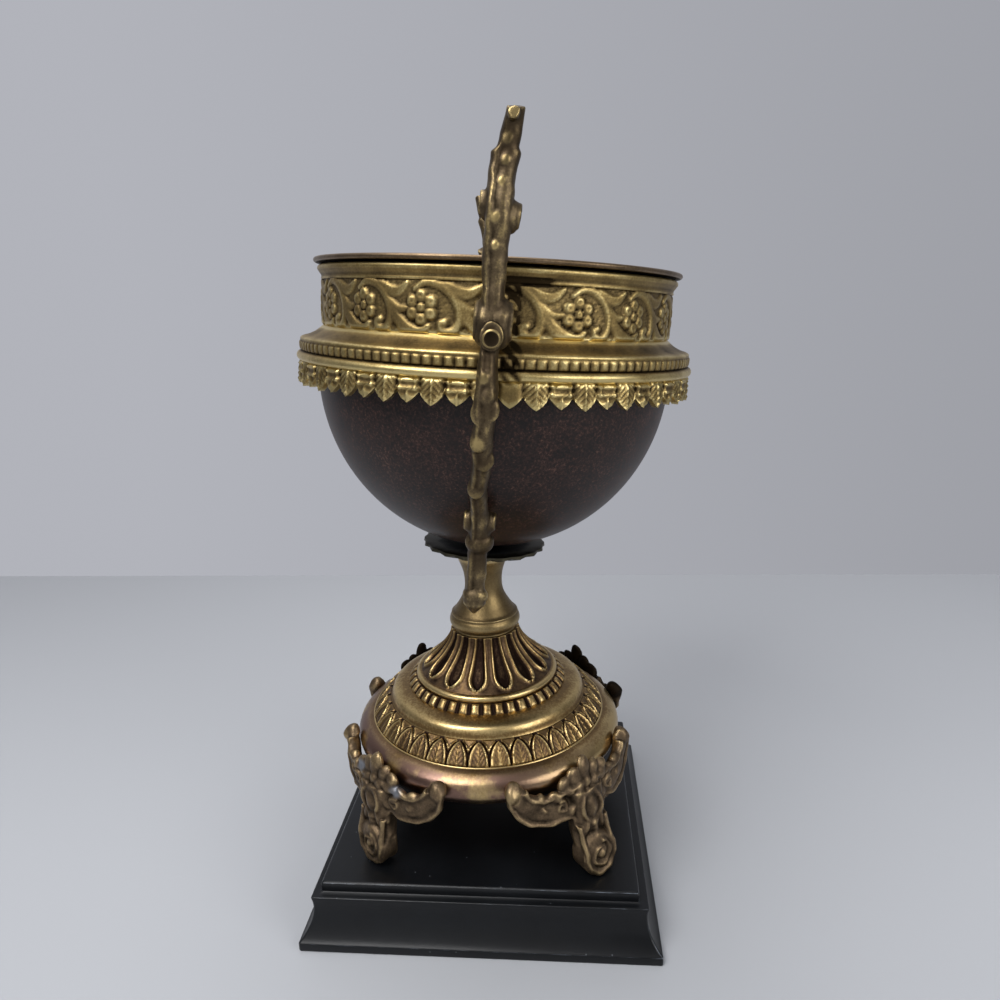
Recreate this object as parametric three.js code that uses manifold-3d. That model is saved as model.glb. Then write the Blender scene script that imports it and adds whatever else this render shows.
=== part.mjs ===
// A mantel urn: a dark hollow bowl in a cast brass collar with a lift-out liner and two scroll
// handles, on a turned stem and a domed base that stands by four scroll feet on a moulded plinth.
// Millimetres, +Z up, origin at the middle of the plinth's underside, handles towards +X and -X.
import * as THREE from "three";
import { mergeVertices } from "three/addons/utils/BufferGeometryUtils.js";
import Module from "manifold-3d";

const wasm = await Module();
wasm.setup();

// Driving dimensions
const PLINTH_SIDE = 152;
const PLINTH_TOP = 27;
const PLINTH_LEDGE = 22.5;
const FOOT_RADIUS = 67.4;
const FOOT_TOE = 9.3;
const TOE_THICKNESS = 9;
const TOE_SIDES = 12;
const FOOT_ARM_SWEEP = 29;
const ARM_THICKNESS = 5.6;
const DOME_BOTTOM = 62;
const DOME_RADIUS = 62.2;
const CONE_FOOT = 95.8;
const CONE_TOP = 115.6;
const CONE_TOP_RADIUS = 15.4;
const STEM_TOP = 151.7;
const STEM_WAIST = 8.6;
const LEAN_Z = 152;
const LEAN = 4.4;
const LEAN_BACK = 1;
const LEAN_SHIFT = 2;
const TURN = 4;
const DISH_RADIUS = 27;
const DISH_OFFSET = 1.2;
const BOWL_RADIUS = 74;
const BOWL_CENTRE = 234.5;
const BOWL_RIM = 239.8;
const BOWL_WALL = 2;
const COLLAR_RING_RADIUS = 82.5;
const FRIEZE_RADIUS = 71.8;
const FRIEZE_MIDDLE = 260;
const COLLAR_TOP = 274.2;
const COLLAR_INSIDE = 70;
const LINER_RADIUS = 75.5;
const LINER_TOP = 276.7;
const LINER_WALL = 1.2;
const LINER_DEPTH = 34;
const PIN_HEIGHT = 251;
const PIN_RADIUS = 3;
const PIN_END = 94.5;
const PIN_SIDES = 8;
const DOME_SEGMENTS = 24;
const STEM_SEGMENTS = 16;
const BOWL_SEGMENTS = 24;
const FRONT_HANDLE_SKEW = 1.5;
const BACK_HANDLE_SKEW = 8.5;
const HANDLE_BEND = 0.07;
const HANDLE_BEND_START = 24;

// Counts of the repeated ornaments
const FLUTES = 14;
const DENTILS = 42;
const BAND_LEAVES = 36;
const DOME_TURN = -3;
const BAND_TURN = 4;
const DISH_LEAVES = 20;
const FRINGE_LEAVES = 58;
const FRINGE_DROP = 9.8;
const FRINGE_TURN = -1.45;
const ROSETTES = 18;
const ROSETTE_TURN = 2.4;

// Gap kept between pieces that touch
const GAP = 0.3;

const radians = THREE.MathUtils.degToRad;
const X_AXIS = new THREE.Vector3(1, 0, 0);
const Y_AXIS = new THREE.Vector3(0, 1, 0);
const Z_AXIS = new THREE.Vector3(0, 0, 1);

// A closed geometry as a solid that can be joined and cut
function solid(geometry) {
  const bare = new THREE.BufferGeometry();
  bare.setAttribute("position", geometry.getAttribute("position"));
  bare.setIndex(geometry.index);
  const merged = mergeVertices(bare, 1e-3);
  return new wasm.Manifold(
    new wasm.Mesh({
      numProp: 3,
      vertProperties: merged.attributes.position.array,
      triVerts: new Uint32Array(merged.index.array),
    }),
  );
}

// Several closed geometries joined into one solid
function joined(geometries) {
  return geometries.map(solid).reduce((whole, next) => whole.add(next));
}

// The geometry of a joined or cut solid
function geometryOf(body) {
  const mesh = body.getMesh();
  const geometry = new THREE.BufferGeometry();
  geometry.setAttribute("position", new THREE.BufferAttribute(mesh.vertProperties, 3));
  geometry.setIndex(new THREE.BufferAttribute(mesh.triVerts, 1));
  geometry.computeVertexNormals();
  return geometry;
}

// A profile of [radius, height] points turned about the Z axis
function turned(profile, segments, start = 0) {
  const points = profile.map(([radius, height]) => new THREE.Vector2(radius, height));
  return new THREE.LatheGeometry(points, segments, start).rotateX(Math.PI / 2);
}

// Moves every point of a turned geometry: carve takes and gives radius and height at an azimuth
function carved(geometry, carve) {
  const position = geometry.getAttribute("position");
  for (let i = 0; i < position.count; i++) {
    const azimuth = Math.atan2(position.getY(i), position.getX(i));
    const reach = Math.hypot(position.getX(i), position.getY(i));
    const [radius, height] = carve(reach, position.getZ(i), azimuth);
    position.setXYZ(i, radius * Math.cos(azimuth), radius * Math.sin(azimuth), height);
  }
  return geometry;
}

// Points of a circular arc from one angle to another, in degrees
function arc(radius, centreX, centreZ, from, to, steps) {
  return Array.from({ length: steps + 1 }, (_, i) => {
    const angle = radians(from + ((to - from) * i) / steps);
    return [centreX + radius * Math.cos(angle), centreZ + radius * Math.sin(angle)];
  });
}

// A bar along a smooth plane curve: size(t) gives its half width in the curve's plane and its
// half thickness along the plane's normal, and spin turns its section about the curve
function swept(points, normal, steps, sides, size, spin = 0) {
  const curve = new THREE.CatmullRomCurve3(points);
  const bar = new THREE.CylinderGeometry(1, 1, 1, sides, steps).rotateY(radians(spin));
  const position = bar.getAttribute("position");
  for (let i = 0; i < position.count; i++) {
    const t = position.getY(i) + 0.5;
    const place = curve.getPointAt(t);
    const side = curve.getTangentAt(t).cross(normal).normalize();
    const [width, thickness] = size(t);
    place.addScaledVector(side, width * position.getX(i));
    place.addScaledVector(normal, thickness * position.getZ(i));
    position.setXYZ(i, place.x, place.y, place.z);
  }
  return bar;
}

// Lays a flat ornament round an upright cylinder: x runs along the arc, y up and z outwards
function wrapped(geometry, radius) {
  const position = geometry.getAttribute("position");
  for (let i = 0; i < position.count; i++) {
    const azimuth = position.getX(i) / radius;
    const reach = radius + position.getZ(i);
    position.setXYZ(i, reach * Math.cos(azimuth), reach * Math.sin(azimuth), position.getY(i));
  }
  return geometry;
}

// A cylinder along an axis of the part, between two distances from the origin
function rod(radius, axis, from, to, sides) {
  const bar = new THREE.CylinderGeometry(radius, radius, to - from, sides);
  bar.translate(0, (from + to) / 2, 0);
  return bar.applyQuaternion(new THREE.Quaternion().setFromUnitVectors(Y_AXIS, axis));
}

// An ellipsoid with few faces
function boss(centre, half, sides, rows) {
  return new THREE.SphereGeometry(1, sides, rows).scale(...half).translate(...centre);
}

// Full in the middle of a stroke and thin at both ends
function taper(t, middle, end) {
  return end + (middle - end) * Math.sin(Math.PI * t);
}

// The moulded square block: fillet, cove, ledge and rounded top slab
function plinthGeometry() {
  const half = PLINTH_SIDE / 2;
  const slab = half - 11.6;
  const edge = 1.4;
  const profile = [
    [0, 0],
    [half - 0.6, 0],
    [half, 0.6],
    [half, 3.6],
    [half - 0.8, 4.4],
    ...arc(18.9, half + 13, PLINTH_LEDGE - 5.2, 223, 167, 5),
    [half - 5.6, PLINTH_LEDGE],
    [slab, PLINTH_LEDGE],
    ...arc(edge, slab - edge, PLINTH_TOP - edge, 0, 90, 2),
    [0, PLINTH_TOP],
  ];
  const square = profile.map(([reach, height]) => [reach * Math.SQRT2, height]);
  return turned(square, 4, Math.PI / 4);
}

// The domed base: turned drums one on another, with a band of upright leaves, a polished ovolo,
// a band of dentils, a ring and a cone with a hollow flute over every third dentil, each drum let
// a little into the one below
function domeGeometry() {
  const drum = (profile, segments) =>
    turned(
      [
        [0, DOME_BOTTOM + profile[0][1]],
        ...profile.map(([radius, height]) => [radius, DOME_BOTTOM + height]),
        [0, DOME_BOTTOM + profile.at(-1)[1]],
      ],
      segments,
      Math.PI / 2,
    );
  const ridged = (geometry, count, relief) =>
    carved(geometry, (radius, height, azimuth) => {
      const crest = radius > 1 && Math.cos(azimuth * count) > 0;
      return [crest ? radius + relief : radius, height];
    });
  const swell = drum(
    [
      [50, 4],
      [57, 0],
      [59.6, 0],
      [61.6, 3.6],
      [DOME_RADIUS, 6.6],
      [60.8, 9.8],
      [57.6, 12.2],
      [54.8, 13.4],
    ],
    DOME_SEGMENTS,
  );
  const leaves = drum([[52.9, 13], [46.2, 21.6]], 2 * BAND_LEAVES);
  const ovolo = drum([[45.2, 21], [44.8, 24.4], [42, 26.4], [38, 27.4]], DOME_SEGMENTS);
  const dentils = drum([[36.2, 27], [33.2, 31]], 2 * DENTILS);
  const ring = drum([[33, 30.6], [32.6, 33.8]], DOME_SEGMENTS);
  const rise = CONE_TOP - CONE_FOOT;
  const coneRadius = (t) => CONE_TOP_RADIUS + 15.6 * (1 - t) ** 1.7;
  const coneRows = [-0.03, 0.12, 0.5, 1];
  const conePoints = coneRows.map((t) => [coneRadius(t), CONE_FOOT - DOME_BOTTOM + t * rise]);
  const cone = carved(drum(conePoints, 3 * FLUTES), (radius, height, azimuth) => {
    const t = (height - CONE_FOOT) / rise;
    const inFlute = radius > 1 && t > 0.04 && t < 0.96;
    const depth = 0.055 * radius * (1 - Math.cos(azimuth * FLUTES));
    return [inFlute ? radius - depth : radius, height];
  });
  const leafBand = ridged(leaves, BAND_LEAVES, 1.2).rotateZ(radians(BAND_TURN));
  const dentilBand = ridged(dentils, DENTILS, 0.9);
  cone.rotateZ(Math.PI / FLUTES);
  return geometryOf(joined([swell, leafBand, ovolo, dentilBand, ring, cone]));
}

// One cast foot towards +X: a round-ended tongue with a knob, an oval cartouche above it, a leaf on
// the dome's shoulder and two arms that hug the dome and turn up at their tips
function footGeometry() {
  const toeHeight = PLINTH_TOP + 0.1 + FOOT_TOE * Math.cos(Math.PI / TOE_SIDES);
  const toeFront = FOOT_RADIUS + TOE_THICKNESS / 2;
  const toe = rod(FOOT_TOE, X_AXIS, FOOT_RADIUS - TOE_THICKNESS / 2, toeFront, TOE_SIDES);
  toe.rotateX(Math.PI / TOE_SIDES).translate(0, 0, toeHeight);
  const knob = boss([toeFront, 0, toeHeight + 1.5], [2.2, 2.6, 2.6], 4, 2);
  const shaft = swept(
    [
      new THREE.Vector3(FOOT_RADIUS - 0.4, 0, toeHeight),
      new THREE.Vector3(FOOT_RADIUS - 2.6, 0, toeHeight + 10),
      new THREE.Vector3(FOOT_RADIUS - 2.4, 0, DOME_BOTTOM - 1),
    ],
    Y_AXIS,
    3,
    6,
    (t) => [4.4, 8.6 + 0.8 * t],
    30,
  );
  const armReach = DOME_RADIUS + GAP + ARM_THICKNESS / 2;
  const tip = armReach * radians(FOOT_ARM_SWEEP);
  const armPath = [
    [-0.95 * tip, DOME_BOTTOM + 10],
    [-0.84 * tip, DOME_BOTTOM],
    [-0.35 * tip, DOME_BOTTOM - 3],
    [0.35 * tip, DOME_BOTTOM - 3],
    [0.84 * tip, DOME_BOTTOM],
    [0.95 * tip, DOME_BOTTOM + 10],
  ].map(([x, y]) => new THREE.Vector3(x, y, 0));
  const armSize = (t) => [taper(t, 9, 6.4), ARM_THICKNESS * Math.SQRT1_2];
  const arms = wrapped(swept(armPath, Z_AXIS, 8, 4, armSize, 45), armReach);
  const cartouche = boss([FOOT_RADIUS - 0.4, 0, DOME_BOTTOM - 5], [3.4, 7, 8.7], 6, 3);
  const leaf = boss([armReach, 0, DOME_BOTTOM + 8], [ARM_THICKNESS / 2, 7.4, 7.4], 5, 3);
  return geometryOf(joined([toe, knob, shaft, arms, cartouche, leaf]));
}

// The turned stem: collar roll, concave trumpet, waist and a flared head cut to the lean
function stemGeometry() {
  const foot = CONE_TOP + GAP;
  const profile = [
    [0, foot],
    [15, foot],
    ...arc(4, 12.4, foot + 4, -50, 60, 3),
    [13.4, foot + 8.8],
    [9.6, foot + 16.2],
    [STEM_WAIST, foot + 21.6],
    [9, foot + 27],
    [11.6, STEM_TOP - 2.2],
    [11.6, STEM_TOP],
    [0, STEM_TOP],
  ];
  return carved(turned(profile, STEM_SEGMENTS), (radius, height, azimuth) => {
    const side = Math.tan(radians(LEAN)) * Math.sin(azimuth);
    const back = Math.tan(radians(LEAN_BACK)) * Math.cos(azimuth);
    return [radius, height > STEM_TOP - 1 ? height + radius * (back - side) : height];
  });
}

// The leaf-edged dish under the bowl, with a boss that carries it
function dishGeometry() {
  const low = LEAN_Z;
  const bossTop = BOWL_CENTRE - BOWL_RADIUS - GAP;
  const profile = [
    [0, low],
    [11.6, low],
    [DISH_RADIUS, low + 5],
    [DISH_RADIUS, low + 6],
    [10, low + 4.2],
    [6.5, bossTop],
    [0, bossTop],
  ];
  return carved(turned(profile, 2 * DISH_LEAVES), (radius, height, azimuth) => {
    const leaf = radius > 20 ? 0.5 * Math.cos(azimuth * DISH_LEAVES) : 0;
    return [radius + leaf, height - 0.4 * leaf];
  });
}

// The bowl: a hemisphere with a short upright rim, hollow and open above
function bowlGeometry() {
  const inner = BOWL_RADIUS - BOWL_WALL;
  const profile = [
    ...arc(BOWL_RADIUS, 0, BOWL_CENTRE, -90, 0, 6),
    [BOWL_RADIUS, BOWL_RIM],
    [inner, BOWL_RIM],
    ...arc(inner, 0, BOWL_CENTRE, 0, -90, 3),
  ];
  return turned(profile, BOWL_SEGMENTS);
}

// One bay of the frieze, flat, x along the band and y up from its middle line: a scrolling
// vine with a curled end, and a rosette in its crook
function friezeBay() {
  const path = [
    [-2.4, 6],
    [2, 8],
    [8.4, 6],
    [12.2, 0],
    [11.6, -6],
    [7.2, -7.2],
    [7.4, -4.6],
  ].map(([x, y]) => new THREE.Vector3(x, y, 0));
  const vine = swept(path, Z_AXIS, 4, 3, (t) => [taper(t, 1.4, 0.8), 1.1]);
  const rosette = new THREE.ConeGeometry(6, 2.4, 6).rotateX(Math.PI / 2);
  return [vine, rosette];
}

// The cast collar: leaf fringe, ring, bead seat, shoulder, scroll frieze and top moulding
function collarGeometry() {
  const ring = COLLAR_RING_RADIUS;
  const body = turned(
    [
      [COLLAR_INSIDE, BOWL_RIM + GAP],
      [BOWL_RADIUS + GAP, BOWL_RIM + GAP],
      [BOWL_RADIUS + GAP, 237],
      [ring, 237],
      [ring, 240.4],
      [ring - 1.6, 241],
      [ring - 1.8, 244.8],
      [FRIEZE_RADIUS + 3.4, 247.6],
      [FRIEZE_RADIUS, 251],
      [FRIEZE_RADIUS, COLLAR_TOP - 5.8],
      [FRIEZE_RADIUS + 1.2, COLLAR_TOP - 4.6],
      [FRIEZE_RADIUS + 2.2, COLLAR_TOP - 2],
      [FRIEZE_RADIUS + 1.4, COLLAR_TOP],
      [COLLAR_INSIDE, COLLAR_TOP],
      [COLLAR_INSIDE, BOWL_RIM + GAP],
    ],
    2 * ROSETTES,
    radians(90 + ROSETTE_TURN),
  );
  const leafHalf = (1.08 * Math.PI * (ring - 2)) / FRINGE_LEAVES;
  const fringe = Array.from({ length: FRINGE_LEAVES }, (_, i) =>
    new THREE.ConeGeometry(1, FRINGE_DROP, 3, 1, false, Math.PI / 2)
      .rotateX(-Math.PI / 2)
      .scale(1.6, leafHalf, 1)
      .translate(ring - 2, 0, 237.6 - FRINGE_DROP / 2)
      .rotateZ(radians(FRINGE_TURN) + (2 * Math.PI * i) / FRINGE_LEAVES),
  );
  const bays = Array.from({ length: ROSETTES }, (_, i) => {
    const azimuth = radians(ROSETTE_TURN) + (2 * Math.PI * i) / ROSETTES;
    return friezeBay().map((flat) =>
      wrapped(flat.translate(0, FRIEZE_MIDDLE, 0), FRIEZE_RADIUS).rotateZ(azimuth),
    );
  });
  const holes = [-1, 1].map((hand) =>
    solid(
      rod(PIN_RADIUS + GAP, X_AXIS, COLLAR_INSIDE - 2, FRIEZE_RADIUS + 4, PIN_SIDES)
        .rotateZ(hand > 0 ? 0 : Math.PI)
        .translate(0, 0, PIN_HEIGHT),
    ),
  );
  const whole = joined([body, ...fringe, ...bays.flat()]);
  return geometryOf(holes.reduce((rest, hole) => rest.subtract(hole), whole));
}

// The lift-out liner: a shallow dish with a flat flange that rests on the collar
function linerGeometry() {
  const wall = COLLAR_INSIDE - 1.4;
  const seat = COLLAR_TOP + GAP;
  const floor = LINER_TOP - LINER_DEPTH;
  const profile = [
    [0, floor],
    [wall - 8, floor],
    [wall, floor + 10],
    [wall, seat],
    [FRIEZE_RADIUS - 0.4, seat],
    [FRIEZE_RADIUS - 0.4, LINER_TOP - 1.9],
    [LINER_RADIUS, LINER_TOP - 1.9],
    [LINER_RADIUS, LINER_TOP],
    [wall - LINER_WALL, LINER_TOP],
    [wall - LINER_WALL, floor + 10.5],
    [wall - 8.5, floor + LINER_WALL],
    [0, floor + LINER_WALL],
  ];
  return turned(profile, BOWL_SEGMENTS);
}

// One scroll handle towards +X, in the plane y = 0: an S-shaped bar with volutes on both faces,
// a lug round its pin and knobs along its outer edge, its upper part bent to one side
function handleGeometry() {
  const spine = [
    [89.5, 317.4],
    [86.8, 309],
    [86.2, 300],
    [88.4, 290],
    [86.6, 278],
    [85.2, 266],
    [86.8, PIN_HEIGHT],
    [88.6, 238],
    [87.2, 225],
    [82.4, 213],
    [74.4, 200],
    [66.6, 188],
    [62.2, 176],
    [60.6, 163],
    [60.2, 148.5],
  ].map(([reach, height]) => new THREE.Vector3(reach, 0, height));
  const thin = (t) => (t < 0.08 ? 2.6 : 4.8 - 1.5 * t);
  const bar = swept(spine, Y_AXIS, 13, 6, (t) => [taper(t, 4.4, 3), thin(t)], 30);
  const volute = (reach, height, radius, width) =>
    rod(radius, Y_AXIS, -width / 2, width / 2, 8).translate(reach, 0, height);
  const knobs = [
    [90, 304, 2.6],
    [91.4, 277, 2.6],
    [91.6, 226, 3.4],
    [87.6, 214, 3.4],
  ].map(([reach, height, size]) => boss([reach, 0, height], [size, size, size], 4, 2));
  const whole = joined([
    bar,
    volute(89, 288.5, 5, 12.6),
    volute(87.4, PIN_HEIGHT + 4.6, 8.4, 11.6),
    volute(65.4, 184, 4.6, 10.6),
    boss([60.2, 0, 150], [3.4, 3.5, 4.4], 5, 3),
    ...knobs,
  ]);
  const bore = rod(PIN_RADIUS + GAP, X_AXIS, COLLAR_INSIDE, PIN_END + 10, PIN_SIDES);
  const handle = geometryOf(whole.subtract(solid(bore.translate(0, 0, PIN_HEIGHT))));
  const position = handle.getAttribute("position");
  for (let i = 0; i < position.count; i++) {
    const above = Math.max(0, position.getZ(i) - PIN_HEIGHT - HANDLE_BEND_START);
    position.setY(i, position.getY(i) + HANDLE_BEND * above);
  }
  return handle;
}

// The round pin that carries a handle, from inside the collar's wall to past the handle
function pinGeometry() {
  const pin = rod(PIN_RADIUS, X_AXIS, COLLAR_INSIDE + GAP, PIN_END, PIN_SIDES);
  return pin.translate(0, 0, PIN_HEIGHT);
}

// Finishes
const ebonisedWood = new THREE.MeshStandardMaterial({ color: "#121417", roughness: 0.35 });
const darkLacquer = new THREE.MeshStandardMaterial({
  color: "#2c1d19",
  roughness: 0.28,
  metalness: 0.2,
});
const brass = (color, roughness) =>
  new THREE.MeshStandardMaterial({ color, roughness, metalness: 1 });
const giltBrass = brass("#9a8245", 0.42);
const dullBrass = brass("#75674a", 0.5);
const copperyBrass = brass("#94734c", 0.4);
const satinBrass = brass("#97834f", 0.35);
const brownBronze = brass("#6e5b42", 0.5);
const blackenedBronze = brass("#33322c", 0.55);
const rimBrass = brass("#85735a", 0.4);

function piece(name, geometry, material) {
  const mesh = new THREE.Mesh(geometry, material);
  mesh.name = name;
  return mesh;
}

// The urn put together: upright lower pieces, then the leaning and slightly turned upper ones
const urn = new THREE.Group();
urn.add(piece("plinth", plinthGeometry(), ebonisedWood));

// The feet were set by eye, so their places are a little uneven
const footPlaces = { front_right: 43, back_right: 138, back_left: 220, front_left: 318 };
for (const [place, azimuth] of Object.entries(footPlaces)) {
  const foot = piece(`foot_${place}`, footGeometry(), brownBronze);
  foot.rotation.z = radians(azimuth);
  urn.add(foot);
}

const dome = piece("domed_base", domeGeometry(), copperyBrass);
dome.rotation.z = radians(DOME_TURN);
urn.add(dome);
urn.add(piece("stem", stemGeometry(), satinBrass));

const upper = new THREE.Group();
upper.position.z = -LEAN_Z;
const dish = piece("dish", dishGeometry(), blackenedBronze);
dish.position.y = -DISH_OFFSET;
upper.add(dish);
upper.add(piece("bowl", bowlGeometry(), darkLacquer));
upper.add(piece("collar", collarGeometry(), giltBrass));
upper.add(piece("liner", linerGeometry(), rimBrass));

const handlePlaces = { front: [0, FRONT_HANDLE_SKEW], back: [180, BACK_HANDLE_SKEW] };
for (const [side, [azimuth, skew]] of Object.entries(handlePlaces)) {
  const arm = new THREE.Group();
  arm.rotation.z = radians(azimuth);
  arm.add(piece(`pin_${side}`, pinGeometry(), dullBrass));
  const hang = new THREE.Group();
  hang.position.z = PIN_HEIGHT;
  hang.rotation.x = -radians(skew);
  const handle = piece(`handle_${side}`, handleGeometry(), dullBrass);
  handle.position.z = -PIN_HEIGHT;
  hang.add(handle);
  arm.add(hang);
  upper.add(arm);
}

const leaning = new THREE.Group();
leaning.position.set(0, LEAN_SHIFT, LEAN_Z);
leaning.rotation.set(-radians(LEAN), -radians(LEAN_BACK), radians(TURN));
leaning.add(upper);
urn.add(leaning);

export default urn;
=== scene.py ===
import math

import bpy
import numpy as np
from mathutils import Matrix, Vector, noise


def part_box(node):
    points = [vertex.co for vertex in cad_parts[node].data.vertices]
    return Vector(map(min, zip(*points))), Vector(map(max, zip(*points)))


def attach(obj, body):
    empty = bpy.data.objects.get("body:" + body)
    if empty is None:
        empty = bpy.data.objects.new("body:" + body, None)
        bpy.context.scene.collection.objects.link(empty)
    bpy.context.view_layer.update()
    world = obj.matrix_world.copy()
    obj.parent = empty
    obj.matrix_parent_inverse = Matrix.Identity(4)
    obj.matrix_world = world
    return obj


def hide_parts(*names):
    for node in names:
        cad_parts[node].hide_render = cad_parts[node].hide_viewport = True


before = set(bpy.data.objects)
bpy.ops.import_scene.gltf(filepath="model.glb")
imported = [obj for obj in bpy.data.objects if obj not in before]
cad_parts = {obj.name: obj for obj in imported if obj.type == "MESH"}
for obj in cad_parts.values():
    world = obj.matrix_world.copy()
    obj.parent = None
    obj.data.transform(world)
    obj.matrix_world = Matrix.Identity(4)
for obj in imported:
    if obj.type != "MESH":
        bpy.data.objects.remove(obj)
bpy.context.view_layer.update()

# Plinth
# A square block of wood with a fillet, a cove and a thin rounded slab, shaped on a moulder.
# It is painted black and rubbed thin along its edges, where thin highlights are painted too, and the feet
# stand on its slab.
MM = 0.001
PLINTH_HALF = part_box("plinth")[1].x / MM
PLINTH_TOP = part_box("plinth")[1].z / MM
PLINTH_LEDGE = PLINTH_TOP - 4.5
LEDGE_INSET = 5.4
SLAB_INSET = 9.0
PLINTH_CORNER = 1.0
COVE_RADIUS = 18.9


def linear(hex_colour):
    """The linear RGBA of an sRGB hex colour."""
    parts = [int(hex_colour[i:i + 2], 16) / 255 for i in (1, 3, 5)]
    return (*[c / 12.92 if c <= 0.04045 else ((c + 0.055) / 1.055) ** 2.4 for c in parts], 1.0)


def dress(material, node, links):
    """Links sockets, or nodes by their first output, to a node's inputs."""
    for key, source in links.items():
        socket = source.outputs[0] if isinstance(source, bpy.types.Node) else source
        material.node_tree.links.new(socket, node.inputs[key])


def add(material, kind, settings=(), links=()):
    """A shader node with its settings and links. A setting is a socket, a property or ramp stops."""
    node = material.node_tree.nodes.new("ShaderNode" + kind)
    for key, value in dict(settings).items():
        if key == "stops":
            elements = node.color_ramp.elements
            while len(elements) < len(value):
                elements.new(0.5)
            for element, (place, colour) in zip(elements, value):
                element.position = place
                element.color = linear(colour)
        elif isinstance(key, int) or key in node.inputs:
            node.inputs[key].default_value = value
        else:
            setattr(node, key, value)
    dress(material, node, dict(links))
    return node


def new_finish(name, sockets):
    """A material with constants set on its shader, and that shader."""
    material = bpy.data.materials.new(name)
    material.use_nodes = True
    shader = material.node_tree.nodes["Principled BSDF"]
    for socket, value in sockets.items():
        shader.inputs[socket].default_value = value
    return material, shader


def arc(radius, centre_x, centre_z, start, end, steps):
    """Points of a circular arc from one angle to another, in degrees."""
    angles = np.radians(np.linspace(start, end, steps + 1))
    return [(centre_x + radius * math.cos(a), centre_z + radius * math.sin(a)) for a in angles]


def loft(rings, closed=False):
    """Points and faces of a skin over rings of points, with flat ends unless it closes on itself."""
    rows, columns = rings.shape[:2]
    row = np.arange(rows if closed else rows - 1)[:, None]
    column = np.arange(columns)[None, :]
    above = (row + 1) % rows * columns
    beside = (column + 1) % columns
    here = row * columns
    quads = np.stack([here + column, here + beside, above + beside, above + column], -1)
    faces = quads.reshape(-1, 4).tolist()
    if not closed:
        faces.append(list(range(columns))[::-1])
        faces.append(list(range((rows - 1) * columns, rows * columns)))
    return rings.reshape(-1, 3), faces


def placed(name, data):
    """A new object in the scene."""
    thing = bpy.data.objects.new(name, data)
    bpy.context.scene.collection.objects.link(thing)
    return thing


def made(name, form, material, crease=None, marks=()):
    """An object of points in millimetres, shaded smooth up to a crease angle in degrees. Marks are
    named values of its points, for the material to read."""
    points, faces = form
    mesh = bpy.data.meshes.new(name)
    mesh.from_pydata((np.asarray(points) * MM).tolist(), [], faces)
    mesh.materials.append(material)
    mesh.shade_smooth()
    if crease:
        mesh.set_sharp_from_angle(angle=math.radians(crease))
    for mark, values in dict(marks).items():
        mesh.attributes.new(mark, "FLOAT", "POINT").data.foreach_set("value", np.ravel(values))
    return placed(name, mesh)


def square_ring(half, height):
    """A square with rounded corners, counter-clockwise."""
    corner = min(PLINTH_CORNER, half / 2)
    points = []
    for quarter in (0, 90, 180, 270):
        middle = math.radians(quarter + 45)
        centre_x = math.copysign(half - corner, math.cos(middle))
        centre_y = math.copysign(half - corner, math.sin(middle))
        bend = arc(corner, centre_x, centre_y, quarter, quarter + 90, 6)
        points += [(x, y, height) for x, y in bend]
    return points


# Black satin paint on wood, brushed and worn: deep black with a soft sheen, greyish hairlines
# along the edges that are partly rubbed paint and partly painted highlights, and a few specks of dust.
paint, paint_shader = new_finish("black_satin_paint", {"IOR": 1.45, "Specular IOR Level": 0.35})
place = add(paint, "TexCoord").outputs["Object"]
rub_and_highlight = add(paint, "Attribute", {"attribute_name": "edge"}).outputs["Fac"]
chips = add(paint, "TexNoise", {"Scale": 1 / (7 * MM), "Detail": 6}, {"Vector": place})
rubbed_and_highlit = add(paint, "Math", {"operation": "MULTIPLY"}, {0: rub_and_highlight, 1: chips})
bare_and_highlit = add(paint, "MapRange", {"From Min": 0.42, "From Max": 0.64, "To Max": 0.85}, {"Value": rubbed_and_highlit})
cloud = add(paint, "TexNoise", {"Scale": 1 / (30 * MM), "Detail": 4}, {"Vector": place})
shade = add(paint, "ValToRGB", {"stops": [(0.3, "#08090b"), (0.75, "#101215")]}, {"Fac": cloud})
specks = add(paint, "TexVoronoi", {"Scale": 1 / (8 * MM), "Randomness": 1.0}, {"Vector": place})
dust = add(paint, "MapRange", {"From Min": 0.05, "From Max": 0.02}, {"Value": specks})
dusty = add(paint, "Mix", {"data_type": "RGBA", 7: linear("#54585c")}, {0: dust, 6: shade})
worn_and_highlit = add(paint, "Mix", {"data_type": "RGBA", 7: linear("#78808a")}, {0: bare_and_highlit, 6: dusty.outputs[2]})
brush = add(paint, "TexNoise", {"Scale": 1 / (2 * MM), "Detail": 3}, {"Vector": place})
sheen = add(paint, "MapRange", {"To Min": 0.24, "To Max": 0.44}, {"Value": cloud})
ripple = add(paint, "Bump", {"Strength": 0.1, "Distance": 0.3 * MM}, {"Height": brush})
dress(paint, paint_shader, {"Base Color": worn_and_highlit.outputs[2], "Roughness": sheen, "Normal": ripple})


def rounded_edge(radius, centre_x, centre_z, start, end, steps, corner):
    """An arc of the plinth's profile with its middle marked for rubbing and a painted highlight, and its
    corners' marks. A point of the profile is a half width, a height, the mark all round and the mark at the
    corners."""
    points = arc(radius, centre_x, centre_z, start, end, steps)
    return [(x, z, float(i == steps // 2), corner) for i, (x, z) in enumerate(points)]


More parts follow.
